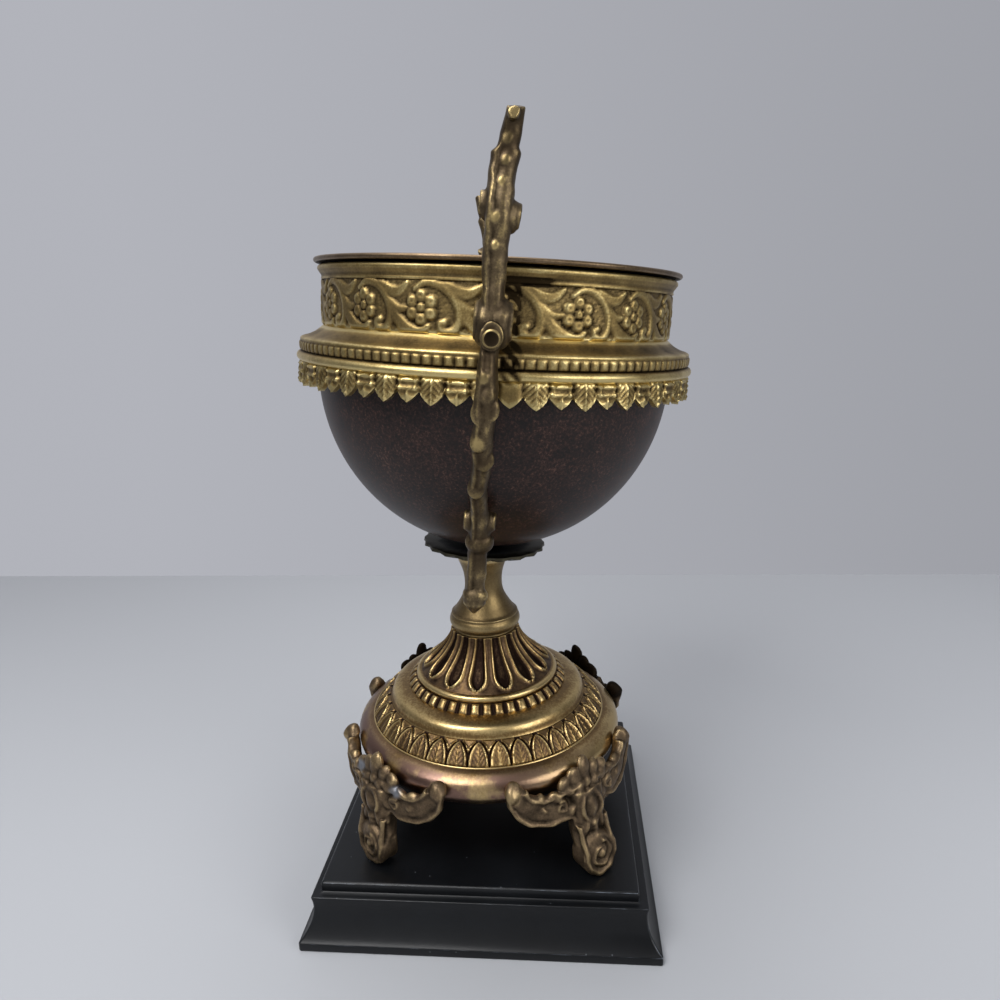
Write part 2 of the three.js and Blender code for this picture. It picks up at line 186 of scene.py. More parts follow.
slab = PLINTH_HALF - SLAB_INSET
ledge = PLINTH_HALF - LEDGE_INSET
plinth_profile = [
    (PLINTH_HALF - 3, 0, 0, 0),
    *rounded_edge(0.6, PLINTH_HALF - 0.6, 0.6, -90, 0, 4, 1),
    (PLINTH_HALF, 2.4, 0, 1),
    *rounded_edge(0.8, PLINTH_HALF - 0.8, 3.4, 0, 60, 4, 1),
    *[(x, z, 0, 1) for x, z in arc(COVE_RADIUS, PLINTH_HALF + 13, PLINTH_LEDGE - 5.2, 222, 168, 16)],
    *rounded_edge(0.5, ledge - 0.5, PLINTH_LEDGE - 0.5, 10, 90, 4, 0),
    (ledge - 1.6, PLINTH_LEDGE, 0, 0),
    (slab + 0.6, PLINTH_LEDGE, 0, 0),
    (slab, PLINTH_LEDGE + 0.4, 0, 1),
    (slab, PLINTH_TOP - 2.2, 0, 1),
    *rounded_edge(1.4, slab - 1.4, PLINTH_TOP - 1.4, 0, 90, 8, 0),
    (slab - 2.6, PLINTH_TOP, 0, 0),
    (slab - 12, PLINTH_TOP, 0, 0),
]
plinth_rings = np.array([square_ring(half, height) for half, height, *_ in plinth_profile])
edges, corners = np.array(plinth_profile).T[2:, :, None]
# The edges and corners are lightened as rubbed paint and as painted highlights
edge_rub_and_highlight = np.maximum(edges, corners * np.tile([0, 0, 0.3, 1, 0.3, 0, 0], 4)[None, :])
plinth = made("plinth_block", loft(plinth_rings), paint, crease=50, marks={"edge": edge_rub_and_highlight})
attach(plinth, "root")
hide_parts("plinth")

# Feet
# Four scroll feet, each cast in brown bronze as one: a round-ended toe with a curl, an oval
# cartouche, leaves on the dome's shoulder and two arms soldered to the dome's edge.
FOOT_RADIUS = 67.4
TOE_RADIUS = 9.3
TOE_THICKNESS = 9.0
DOME_BOTTOM = 62.0
DOME_RADIUS = 62.2
ARM_THICKNESS = 5.6
TOE_GAP = 0.1
ARM_GAP = 0.3
FOOT_VOXEL = 0.42
CASTING_SEED = 5
FOOT_SPLAY = {"front_right": 0.16}
LEAF_STRETCH = 0.35
FOOT_PLACES = {"front_right": 43, "back_right": 138, "back_left": 220, "front_left": 318}


def smoothstep(low, high, value):
    """0 below low and 1 above high, with an eased step between."""
    t = np.clip((value - low) / (high - low), 0, 1)
    return t * t * (3 - 2 * t)


def curve(points, steps):
    """A smooth path through points."""
    knots = np.asarray(points, float)
    ends = np.vstack([2 * knots[0] - knots[1], knots, 2 * knots[-1] - knots[-2]])
    along = np.linspace(0, len(knots) - 1, steps + 1)
    first = np.minimum(along.astype(int), len(knots) - 2)
    u = (along - first)[:, None]
    a, b, c, d = (ends[first + k] for k in range(4))
    return 0.5 * (2 * b + (c - a) * u + (2 * a - 5 * b + 4 * c - d) * u**2 + (3 * b - a - 3 * c + d) * u**3)


def bar(path, across, width, thickness, sides=16):
    """A closed bar along a path: half widths in the path's plane, half thicknesses across it."""
    across = np.asarray(across, float)
    side = np.cross(np.gradient(path, axis=0), across)
    side /= np.linalg.norm(side, axis=1)[:, None]
    angle = np.linspace(0, 2 * np.pi, sides, endpoint=False)[None, :, None]
    width = np.broadcast_to(width, len(path))[:, None, None]
    thickness = np.broadcast_to(thickness, len(path))[:, None, None]
    ring = path[:, None, :] + np.cos(angle) * side[:, None, :] * width
    return loft(ring - np.sin(angle) * across * thickness)


def rotation(degrees, axis):
    """A rotation about an axis, to multiply points by from the right."""
    return np.array(Matrix.Rotation(math.radians(degrees), 3, axis)).T


def ball(centre, half, tilt=0.0, axis="X"):
    """An ellipsoid, tilted about an axis by degrees."""
    up = np.radians(np.linspace(-84, 84, 11))[:, None]
    turn = np.linspace(0, 2 * np.pi, 20, endpoint=False)[None, :]
    unit = np.stack([np.cos(up) * np.cos(turn), np.cos(up) * np.sin(turn), np.sin(up) + 0 * turn], -1)
    return loft((unit * np.asarray(half)) @ rotation(tilt, axis) + np.asarray(centre))


def spiral(centre, start_radius, end_radius, start, sweep, steps):
    """A plane spiral from one radius to another, as pairs."""
    t = np.linspace(0, 1, steps + 1)
    angle = np.radians(start + sweep * t)
    radius = start_radius + (end_radius - start_radius) * t
    return np.stack([centre[0] + radius * np.cos(angle), centre[1] + radius * np.sin(angle)], -1)


def wrapped(form, radius):
    """A flat form laid round an upright cylinder: x along the arc, y up and z outwards. Above the
    dome's widest line it leans in a little with the dome."""
    points, faces = form
    reach = radius + points[:, 2] - 0.25 * np.maximum(0, points[:, 1] - DOME_BOTTOM - 8)
    azimuth = points[:, 0] / radius
    return np.stack([reach * np.cos(azimuth), reach * np.sin(azimuth), points[:, 1]], -1), faces


def flat(pairs, out=0.0):
    """Pairs of arc length and height as points of a flat form."""
    pairs = np.asarray(pairs, float)
    return np.column_stack([pairs, np.broadcast_to(out, len(pairs))])


def gathered(forms):
    """Several forms as one list of points and one of faces."""
    points, faces, start = [], [], 0
    for form_points, form_faces in forms:
        points.append(form_points)
        faces += [[start + corner for corner in face] for face in form_faces]
        start += len(form_points)
    return np.vstack(points), faces


def read(items, key, width, kind=np.float64):
    """One property of all items of a mesh, as rows."""
    numbers = np.empty(len(items) * width, kind)
    items.foreach_get(key, numbers)
    return numbers.reshape(-1, width)


def cast(name, forms, voxel, passes, uneven, lump):
    """Closed forms melted into one skin and fettled smooth, as points and faces. The casting is
    uneven by some mm in lumps of a size in mm."""
    points, faces = gathered(forms)
    rough = bpy.data.meshes.new(name)
    rough.from_pydata((points * MM).tolist(), [], faces)
    holder = placed(name, rough)
    melt = holder.modifiers.new("melt", "REMESH")
    melt.mode = "VOXEL"
    melt.voxel_size = voxel * MM
    fettle = holder.modifiers.new("fettle", "SMOOTH")
    fettle.iterations = passes
    ready = holder.evaluated_get(bpy.context.evaluated_depsgraph_get())
    skin = bpy.data.meshes.new_from_object(ready)
    skin_points = read(skin.vertices, "co", 3) / MM
    skin_faces = [list(face.vertices) for face in skin.polygons]
    bpy.data.objects.remove(holder)
    bpy.data.meshes.remove(skin)
    noise.seed_set(CASTING_SEED)
    shifts = np.array([noise.noise_vector(Vector(point)) for point in skin_points / lump])
    return skin_points + uneven * shifts, skin_faces


def mark_crests(piece, rounds, extra=0.0):
    """Stores how far each point stands out of its surroundings, in millimetres, as crest, with an
    extra height that paints some points brighter, as highlights, and others darker, as shade, shadow and
    soiling."""
    mesh = piece.data
    count = len(mesh.vertices)
    points = read(mesh.vertices, "co", 3) / MM
    normals = read(mesh.vertex_normals, "vector", 3)
    ends = read(mesh.edges, "vertices", 2, np.int64)
    near, far = ends.T
    degree = np.maximum(np.bincount(ends.ravel(), minlength=count), 1)
    soft = points.copy()
    for _ in range(rounds):
        total = [
            np.bincount(near, soft[far, axis], count) + np.bincount(far, soft[near, axis], count)
            for axis in range(3)
        ]
        soft = np.stack(total, -1) / degree[:, None]
    crest = ((points - soft) * normals).sum(1) + extra
    mesh.attributes.new("crest", "FLOAT", "POINT").data.foreach_set("value", crest)


def aged_metal(name, colours, reach, roughness, mottle, grain, tint=None, patch=None):
    """A cast or turned copper alloy, dark with soiling and painted shade in its recesses, and bright on
    its crests with polish and painted highlights. colours run from recess to crest, reach is the crest
    height that is painted brightest, mottle and grain are the sizes of the stains and of the casting's
    grit in mm, the grit drawn coarser than it is so that it shows. A tint lies in broad stains, or where the
    attribute patch is set."""
    material, shader = new_finish(name, {"Metallic": 1.0})
    place = add(material, "TexCoord").outputs["Object"]
    crest = add(material, "Attribute", {"attribute_name": "crest"}).outputs["Fac"]
    stain = add(
        material, "TexNoise", {"Scale": 1 / (mottle * MM), "Detail": 5, "Roughness": 0.6}, {"Vector": place}
    )
    grit = add(
        material, "TexNoise", {"Scale": 1 / (grain * MM), "Detail": 4, "Roughness": 0.65}, {"Vector": place}
    )
    wear_and_shading = add(material, "MapRange", {"From Min": -reach, "From Max": reach}, {"Value": crest})
    for pattern, strength, clamped in ((stain, 0.14, False), (grit, 0.1, True)):
        span = {"From Min": 0.3, "From Max": 0.7, "To Min": -strength, "To Max": strength}
        shift = add(material, "MapRange", span, {"Value": pattern})
        wear_and_shading = add(material, "Math", {"operation": "ADD", "use_clamp": clamped}, {0: wear_and_shading, 1: shift})
    # The ramp paints recesses dark as patina and painted shade, and crests bright as polish and painted
    # highlights
    stops = list(zip(np.linspace(0.1, 0.9, len(colours)), colours))
    colour = add(material, "ValToRGB", {"stops": stops}, {"Fac": wear_and_shading})
    if patch:
        mask = add(material, "Attribute", {"attribute_name": patch}).outputs["Fac"]
        thick = add(material, "MapRange", {"From Min": 0.3, "From Max": 0.5}, {"Value": stain})
        spread = add(material, "Math", {"operation": "MULTIPLY"}, {0: mask, 1: thick})
    elif tint:
        broad = add(material, "TexNoise", {"Scale": 1 / (2.5 * mottle * MM), "Detail": 3}, {"Vector": place})
        spread = add(
            material, "MapRange", {"From Min": 0.4, "From Max": 0.65, "To Max": 0.85}, {"Value": broad}
        )
    if tint:
        tinted = add(material, "Mix", {"data_type": "RGBA", 7: linear(tint)}, {0: spread, 6: colour})
        colour = tinted.outputs[2]
    dull = add(
        material, "MapRange", {"To Min": roughness + 0.2, "To Max": roughness - 0.08}, {"Value": wear_and_shading}
    )
    rough = add(material, "Bump", {"Strength": 0.35, "Distance": 0.12 * grain * MM}, {"Height": grit})
    dress(material, shader, {"Base Color": colour, "Roughness": dull, "Normal": rough})
    return material


# Brown bronze as cast, never polished: olive brown, darker in the hollows, partly painted shade, rubbed
# golden on the knuckles, partly painted highlights. The soldered foot keeps grey tin on its upper leaves and
# arms.
brown_bronze = aged_metal(
    "brown_bronze", ["#251e17", "#4f4335", "#715f4a", "#a48e69"],
    reach=0.55, roughness=0.46, mottle=9, grain=0.9, tint="#8b8d92", patch="tin",
)

toe_height = PLINTH_TOP + TOE_GAP + TOE_RADIUS
toe_front = FOOT_RADIUS + TOE_THICKNESS / 2
arm_reach = DOME_RADIUS + ARM_GAP + ARM_THICKNESS / 2
cartouche_height = DOME_BOTTOM - 5


def hoop(radius, top, tube, out):
    """A ridge in the shape of a U on the toe's face, its legs rising to a height."""
    legs = [(radius, z) for z in np.linspace(top, toe_height + 0.5, 8)]
    bend = arc(radius, 0, toe_height, 0, -180, 24)
    line = np.array(legs + bend + [(-y, z) for y, z in legs[::-1]])
    reach = toe_front - out - 0.22 * np.maximum(0, line[:, 1] - toe_height - 2)
    return bar(np.column_stack([reach, line]), (1, 0, 0), tube, tube, 12)


toe_path = np.array([(FOOT_RADIUS + step, 0, toe_height) for step in (-4.5, -3.4, 3.2, 4.3)])
toe_radii = [8.3, TOE_RADIUS, TOE_RADIUS, 8.1]
shaft_knots = [(0, 0, toe_height), (-2, 0, toe_height + 10), (-2, 0, DOME_BOTTOM + 2)]
shaft_path = curve(shaft_knots, 24) + (FOOT_RADIUS, 0, 0)
along_shaft = np.linspace(0, 1, len(shaft_path))
shaft_depth = np.interp(along_shaft, [0, 0.4, 1], [4.4, 4.4, 4.6])
shaft_width = np.interp(along_shaft, [0, 0.35, 0.6, 1], [9.0, 7.9, 8.6, 9.8])
curl = spiral((0, toe_height), 5.6, 2.4, 80, -430, 48)
oval = np.radians(np.linspace(0, 372, 50))
oval_reach = FOOT_RADIUS + 2.6 - 1.2 * np.sin(oval) ** 2
oval_line = np.stack([oval_reach, 5.0 * np.cos(oval), cartouche_height + 6.4 * np.sin(oval)], -1)
foot_forms = [
    bar(toe_path, (0, 1, 0), toe_radii, toe_radii, 40),
    bar(shaft_path, (0, 1, 0), shaft_depth, shaft_width, 24),
    *[bar(shaft_path + (-0.3, y, 0), (0, 1, 0), shaft_depth - 0.2, 0.42 * shaft_width) for y in (-4.9, 4.9)],
    hoop(7.4, toe_height + 14, 1.3, 0.5),
    bar(np.column_stack([np.full(len(curl), toe_front - 0.1), curl]), (1, 0, 0), 0.9, 0.9, 12),
    ball((toe_front, 0.2, toe_height + 0.4), (1.7, 2.0, 2.0)),
    bar(oval_line, (1, 0, 0), 1.0, 1.0, 12),
    ball((FOOT_RADIUS + 0.8, 0, cartouche_height), (2.9, 4.4, 5.8)),
    ball((FOOT_RADIUS + 2.0, 0, toe_height + 10.4), (1.7, 1.7, 3.4)),
    ball((FOOT_RADIUS + 2.2, 0.2, toe_height + 13.6), (1.3, 2.2, 1.4)),
]

# An arm laid flat: arc length from the foot's middle, height over the dome's edge, and out
arm = curve([(0, -4.6), (9, -4.2), (17, -3), (25, 0), (30.4, 4.6), (32.6, 9)], 40)
arm_width = np.interp(np.linspace(0, 1, 41), [0, 0.6, 1], [6.6, 5.2, 3.6])
low_rim = [
    (7.4, -14), (7.4, -10), (9.2, -7.4), (13, -6.8), (19, -7.4), (26.4, -5.4), (32.2, -0.2), (35, 6),
    (34.4, 10),
]
top_rim = [(5.6, 5), (10.4, 4.0), (16, 3.2), (21.6, 3.4), (26, 5.2), (28.4, 9)]
arm_forms = [
    bar(flat(arm + (0, DOME_BOTTOM)), (0, 0, 1), arm_width, 3.0),
    bar(flat(curve(low_rim, 48) + (0, DOME_BOTTOM), 1.4), (0, 0, 1), 1.3, 1.8, 12),
    bar(flat(curve(top_rim, 40) + (0, DOME_BOTTOM), 1.2), (0, 0, 1), 1.2, 2.0, 12),
    bar(flat(spiral((13.2, DOME_BOTTOM - 1.6), 2.8, 0.8, 60, 480, 40), 2.5), (0, 0, 1), 0.8, 1.1, 10),
]
for centre, half, tilt in (
    ((21.0, -1.0, 2.2), (2.6, 1.7, 1.5), 30),
    ((33.0, 8.6, 0.5), (3.7, 4.6, 3.4), 0),
    ((9.0, 3.8, 0.8), (3.6, 3.0, 2.5), 20),
    ((15.0, 2.8, 0.9), (3.6, 2.3, 2.3), 10),
    ((21.2, 3.4, 0.8), (3.2, 2.1, 2.2), 24),
    ((5.0, 8.0, 0.2), (3.6, 4.4, 2.2), -30),
    ((10.4, 6.6, 0.2), (3.6, 3.2, 2.1), -60),
    ((3.8, 3.2, 1.8), (2.8, 3.4, 1.9), -20),
    ((8.8, -4.0, 2.0), (2.3, 3.0, 1.8), 24),
):
    arm_forms.append(ball(np.add(centre, (0, DOME_BOTTOM, 0)), half, tilt, "Z"))
for hand in (-1, 1):
    foot_forms.append(ball((FOOT_RADIUS + 1.4, hand * 4.4, toe_height + 13), (1.6, 1.8, 4.6), hand * 12))
    for form_points, form_faces in arm_forms:
        mirrored = [face[::hand] for face in form_faces]
        foot_forms.append(wrapped((form_points * (hand, 1, 1), mirrored), arm_reach))
for height, half in ((10.4, (3.2, 5.8, 2.3)), (4.8, (2.4, 3.6, 2.9))):
    foot_forms.append(wrapped(ball((0, DOME_BOTTOM + height, 0.6), half), arm_reach))
foot_points, foot_faces = cast("foot", foot_forms, FOOT_VOXEL, passes=4, uneven=0.8, lump=5.0)
foot_points[:, 2] = np.maximum(foot_points[:, 2], PLINTH_TOP + 0.02)

# Marks by place on the foot: a painted highlight on the left arm's tip, painted shade on the back feet's
# leaves, tin on the leaves and an arm of the soldered foot
foot_arc = np.degrees(np.arctan2(foot_points[:, 1], foot_points[:, 0]))
foot_rise = foot_points[:, 2] - DOME_BOTTOM
# A painted highlight on the arm's tip
highlit_arm_tip = 0.5 * smoothstep(5, 2.5, np.hypot(1.1 * (foot_arc + 29.5), foot_rise - 7))
# Painted shade on the back feet's upper leaves
shaded_back_leaves = -1.1 * smoothstep(0, 11, foot_rise)
tinned = smoothstep(3.6, 1.0, np.hypot(1.1 * (foot_arc + 9), foot_rise - 6))
tinned = np.maximum(tinned, smoothstep(3.0, 0.8, np.hypot(0.8 * (foot_arc - 12), foot_rise - 4)))
tall_leaf = LEAF_STRETCH * np.maximum(0, foot_rise - 2) * smoothstep(20, 12, np.abs(foot_arc))

for place_name, azimuth in FOOT_PLACES.items():
    tin = tinned if place_name == "front_left" else 0 * tinned
    if place_name == "back_right":
        extra = shaded_back_leaves
    elif place_name == "back_left":
        extra = shaded_back_leaves * (np.abs(foot_arc) < 20)
    else:
        extra = highlit_arm_tip
    splay = FOOT_SPLAY.get(place_name, 0) * np.maximum(0, -foot_rise)
    taller = tall_leaf if place_name.startswith("back") else 0 * tall_leaf
    shaped = foot_points + np.column_stack([splay, 0 * splay, taller])
    foot_form = (shaped @ rotation(azimuth, "Z"), foot_faces)
    foot = made(f"scroll_foot_{place_name}", foot_form, brown_bronze, marks={"tin": tin})
    mark_crests(foot, rounds=16, extra=extra)
    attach(foot, "root")
    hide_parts(f"foot_{place_name}")

# Domed base
# A spun and cast brass dome: a plain swell, a band of upright leaves, a polished ovolo, a band of
# dentils, a ring and a fluted cone. Its lacquer has turned coppery, and its carving's hollows are painted
# dark as shade.
BAND_LEAVES = 36
DENTILS = 42
FLUTES = 14
DOME_TURN = -3.0
BAND_TURN = 4.0
CONE_FOOT = 95.8
CONE_TOP = 115.6
CONE_TOP_RADIUS = 15.4
PLAIN_COLUMNS = 256


def ridge(distance, width):
    """A rounded ridge about distance 0."""
    return np.exp(-((distance / width) ** 2))


def around(columns, start=0.0):
    """Evenly spaced azimuths in degrees."""
    return start + np.linspace(0, 360, columns, endpoint=False)


def revolved(profile, azimuths, relief=None):
    """Rings of a profile of radius and height at azimuths in degrees, raised by a relief along its
    normals."""
    profile = np.asarray(profile, float)
    step = np.gradient(profile, axis=0)
    normal = np.stack([step[:, 1], -step[:, 0]], -1)
    normal /= np.maximum(np.linalg.norm(normal, axis=1), 1e-9)[:, None]
    turn = np.radians(azimuths)
    raised = np.zeros((len(profile), len(turn))) if relief is None else relief
    radius = profile[:, :1] + raised * normal[:, :1]
    height = profile[:, 1:] + raised * normal[:, 1:]
    return np.stack([radius * np.cos(turn), radius * np.sin(turn), height], -1)


def cell(columns, count):
    """Where each column lies across its repeat, from -0.5 to 0.5, the first at a middle."""
    return (np.arange(columns) * count / columns + 0.5) % 1 - 0.5


def leaf_relief(t, s):
    """Upright pointed leaves that touch at their feet, each with a rim, a midrib and veins, and
    the tips of a row behind."""
    outline = 0.47 * np.clip(1 - (np.clip(t - 0.1, 0, 1) / 0.78) ** 2.0, 0, 1) ** 0.75
    inside = outline - np.abs(s)
    leaf = smoothstep(-0.01, 0.02, inside) * (t < 0.88)
    veins = (0.5 + 0.5 * np.cos(2 * np.pi * (5 * t - 6 * np.abs(s)))) * smoothstep(0.1, 0.16, inside)
    body = 0.4 + 0.75 * ridge(inside - 0.07, 0.06) + 0.25 * ridge(s, 0.04) * (t < 0.7) + 0.16 * veins
    between = 0.5 - np.abs(s)
    behind = smoothstep(0.06, 0.11, -inside) * smoothstep(0.0, 0.04, 0.36 - between)
    behind = behind * (0.45 + 0.45 * ridge(inside + 0.13, 0.05)) * smoothstep(0.35, 0.5, t)
    foot = smoothstep(0, 0.04, t) * smoothstep(1.0, 0.95, t)
    return foot * np.maximum(leaf * body, behind)


def dentil_relief(t, s):
    """Blocks rounded like pillows, with gaps."""
    across = np.clip(1 - np.abs(s / 0.36) ** 2.5, 0, 1)
    along = np.clip(1 - np.abs(2 * t - 1) ** 4, 0, 1)
    return np.sqrt(across * along)


def flute_relief(t, s):
    """Flutes with round feet and raised rims, sunk between."""
    low = np.sqrt(np.clip(1 - ((0.28 - t) / 0.23) ** 2, 0, 1))
    half = np.where(t < 0.28, 0.385 * low, 0.385 - 0.08 * (t - 0.28))
    inside = half - np.abs(s)
    rim = ridge(inside - 0.05, 0.075) * smoothstep(0.04, 0.08, t)
    hollow = smoothstep(0.09, 0.2, inside)
    return 1.1 * rim - 0.8 * hollow


def hollow_shade(relief, low, high):
    """How far painted shade darkens the look of a relief's hollows."""
    return -0.36 * smoothstep(high, low, relief)


plain = around(PLAIN_COLUMNS)
swell = curve([(59.4, 62), (61.7, 65.4), (62.2, 68.6), (60.9, 71.8), (57.8, 74.2), (55.3, 75.1)], 18)
swell_profile = [
    (50, 66), (57, 62.3), (58.8, 62), *swell, (55.0, 75.15), (54.9, 75.6), (54.5, 75.8), (54.1, 75.6),
    (52, 75.4), (45, 75.4),
]
leaf_rows = np.linspace(0, 1, 30)
leaf_bulge = 0.8 * np.sin(np.pi * leaf_rows)
leaf_profile = np.stack([53.8 - 7.6 * leaf_rows, 75.3 + 8.2 * leaf_rows + leaf_bulge], -1)
leaf_columns = BAND_LEAVES * 24
leaves = leaf_relief(leaf_rows[:, None], cell(leaf_columns, BAND_LEAVES)[None, :])
ovolo = curve([(46.4, 83), (45.7, 84.4), (45.2, 86.2), (43.9, 87.9), (41.2, 88.9), (36.8, 89.5)], 16)
dentil_rows = np.linspace(0, 1, 14)
dentil_profile = np.stack([36.9 - 3.6 * dentil_rows, 89.3 + 3.7 * dentil_rows], -1)
dentil_columns = DENTILS * 14
dentils = dentil_relief(dentil_rows[:, None], cell(dentil_columns, DENTILS)[None, :])
ring_profile = [(30, 92.4), *arc(1.6, 31.7, 94.3, -70, 100, 10), (28, 95.9)]
flute_rows = np.linspace(-0.03, 1, 44)
flute_profile = np.stack(
    [CONE_TOP_RADIUS + 15.6 * (1 - flute_rows) ** 1.7, CONE_FOOT + (CONE_TOP - CONE_FOOT) * flute_rows], -1
)
flute_columns = FLUTES * 40
flutes = flute_relief(flute_rows[:, None], cell(flute_columns, FLUTES)[None, :])
fluting = flutes * flute_profile[:, :1] / 26
dome_bands = [
    (revolved(swell_profile, plain), 0),
    (revolved(leaf_profile, around(leaf_columns, BAND_TURN), 1.05 * leaves), 0.6 * hollow_shade(leaves, 0.15, 0.55)),
    (revolved([(44, 82.6), *ovolo, (33, 89.6)], plain), 0),
    (revolved(dentil_profile, around(dentil_columns), 1.15 * dentils), hollow_shade(dentils, 0.1, 0.6)),
    (revolved(ring_profile, plain), 0),
    (revolved(flute_profile, around(flute_columns), fluting), hollow_shade(flutes, -0.5, 0.3)),
]
dome_points, dome_faces = gathered([loft(rings) for rings, _ in dome_bands])
dome_points = dome_points @ rotation(DOME_TURN, "Z")
# Each band's second value is painted shade in its hollows
dome_hollow_shade = [np.broadcast_to(hollow_darkening, rings.shape[:2]).ravel() for rings, hollow_darkening in dome_bands]

# Lacquered brass, brass-coloured where it was wiped, with painted highlights on the crests, and brown
# in the carving, partly painted shade. On the swell the lacquer has gone a pinkish copper.
copper_stain = smoothstep(76, 73.5, dome_points[:, 2]) * smoothstep(75, 5, dome_points[:, 1])
coppery_brass = aged_metal(
    "coppery_brass", ["#211712", "#5c4936", "#846a42", "#ccb27c"],
    reach=0.55, roughness=0.36, mottle=16, grain=1.1, tint="#7c6256", patch="copper",
)
domed_base = made(
    "dome_casting", (dome_points, dome_faces), coppery_brass, crease=60, marks={"copper": copper_stain}
)
mark_crests(domed_base, rounds=12, extra=np.concatenate(dome_hollow_shade))
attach(domed_base, "root")
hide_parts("domed_base")

# Stem
# A baluster turned from brass on a lathe: a roll below a trumpet with a narrow waist.
# It stands on the dome's cone, and its head is faced off to the lean of the bowl.
STEM_FOOT = 115.9
STEM_TOP = 151.7
LEAN = 4.4
LEAN_BACK = 1.0
trumpet = [
    (14.4, 8.2), (11.6, 12.4), (9.3, 17), (8.6, 21.6), (9, 26.6), (10.3, 31),
    (11.6, STEM_TOP - STEM_FOOT - 1.6),
]
stem_profile = np.vstack(
    [
        [(13.6, STEM_FOOT), (14.6, STEM_FOOT)],
        arc(4, 12.4, STEM_FOOT + 4, -58, 40, 12),
        arc(0.5, 15.0, STEM_FOOT + 7.3, -40, 60, 4),
        curve(trumpet, 30) + (0, STEM_FOOT),
        [(11.6, STEM_TOP - 0.4), (11.4, STEM_TOP), (9, STEM_TOP)],
    ]
)
stem_rings = revolved(stem_profile, around(128))
facing = smoothstep(STEM_TOP - 3, STEM_TOP - 0.3, stem_profile[:, 1])[:, None]
to_back = math.tan(math.radians(LEAN_BACK)) * stem_rings[..., 0]
to_side = math.tan(math.radians(LEAN)) * stem_rings[..., 1]
stem_rings[..., 2] += facing * (to_back - to_side)

# Satin brass, turned and left to dull: a soft yellow sheen with brown stains in broad patches.
satin_brass = aged_metal(
    "satin_brass", ["#3c3225", "#6c5b3f", "#85724e", "#ab966c"],
    reach=0.6, roughness=0.38, mottle=12, grain=0.8,
)
stem = made("turned_stem", loft(stem_rings), satin_brass, crease=50)
mark_crests(stem, rounds=10)
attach(stem, "root")
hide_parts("stem")

# Dish
# A shallow leaf-edged dish between stem and bowl, stamped in brass and blackened all over.
# Like everything above it, it leans a little to one side and is turned on the stem.
DISH_RADIUS = 27.0
DISH_LOW = 152.0
DISH_OFFSET = 1.2
DISH_LEAVES = 20
DISH_COLUMNS = DISH_LEAVES * 16
LEAN_SHIFT = 2.0
TURN = 4.0
lean = (
    Matrix.Translation((0, LEAN_SHIFT, DISH_LOW))
    @ Matrix.Rotation(math.radians(-LEAN), 4, "X")
    @ Matrix.Rotation(math.radians(-LEAN_BACK), 4, "Y")
    @ Matrix.Rotation(math.radians(TURN), 4, "Z")
    @ Matrix.Translation((0, 0, -DISH_LOW))
)


def leaning(form):
    """A form of the upper group, leaned and turned with it."""
    points, faces = form
    return points @ np.array(lean.to_3x3()).T + np.array(lean.translation), faces


under_rows = np.linspace(0, 1, 22)
under_profile = np.stack(
    [11.8 + (DISH_RADIUS - 11.8) * under_rows, DISH_LOW + 0.1 + 5.0 * under_rows**1.15], -1
)
top_profile = [
    (DISH_RADIUS + 0.1, DISH_LOW + 5.7), (DISH_RADIUS - 1.2, DISH_LOW + 6), (18, DISH_LOW + 5),
    (10, DISH_LOW + 4.3), (6.6, DISH_LOW + 5.4),
]
across_leaf = cell(DISH_COLUMNS, DISH_LEAVES)[None, :]
dish_leaf = 0.7 * np.sqrt(np.clip(1 - (across_leaf / 0.52) ** 2, 0, 1)) + 0.3 * ridge(across_leaf, 0.06)
dish_turn = around(DISH_COLUMNS)
dish_rings = np.vstack(
    [
        revolved([(9, DISH_LOW), (11.4, DISH_LOW)], dish_turn),
        revolved(under_profile, dish_turn, smoothstep(0.12, 0.5, under_rows)[:, None] * dish_leaf),
        revolved(top_profile, dish_turn),
    ]
)
dish_reach = np.hypot(dish_rings[..., 0], dish_rings[..., 1])
scallop = smoothstep(20, DISH_RADIUS, dish_reach) * 0.28 * np.cos(2 * np.pi * across_leaf)
dish_rings[..., :2] *= (1 + scallop / np.maximum(dish_reach, 1))[..., None]
dish_rings[..., 1] -= DISH_OFFSET

# Brass blackened with age: nearly black and dull, with a little bronze on the rubbed edges, partly painted
# highlight.
blackened_bronze = aged_metal(
    "blackened_bronze", ["#060605", "#11110e", "#1d1c18", "#4a463a"],
    reach=0.5, roughness=0.5, mottle=7, grain=0.9,
)
dish = made("leaf_dish", leaning(loft(dish_rings)), blackened_bronze, crease=60)
mark_crests(dish, rounds=8)
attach(dish, "root")
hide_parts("dish")

# Bowl
# A thin hemisphere of spun metal, hollow, its rim held inside the collar.
# It is lacquered dark brown over a mottled reddish ground, glossy and a little scuffed.
BOWL_RADIUS = 74.0
BOWL_CENTRE = 234.5
BOWL_RIM = 239.8
BOWL_WALL = 2.0
BOWL_DEEPER = 1.028
bowl_inside = BOWL_RADIUS - BOWL_WALL
bowl_outside = arc(BOWL_RADIUS, 0, BOWL_CENTRE, -89, 0, 60)
bowl_profile = [
    *[(x, BOWL_CENTRE + BOWL_DEEPER * (z - BOWL_CENTRE)) for x, z in bowl_outside],
    (BOWL_RADIUS, BOWL_RIM - 0.5),
    (BOWL_RADIUS - 0.5, BOWL_RIM),
    (bowl_inside + 0.5, BOWL_RIM),
    (bowl_inside, BOWL_RIM - 0.5),
    *arc(bowl_inside, 0, BOWL_CENTRE, 0, -89, 40),
]

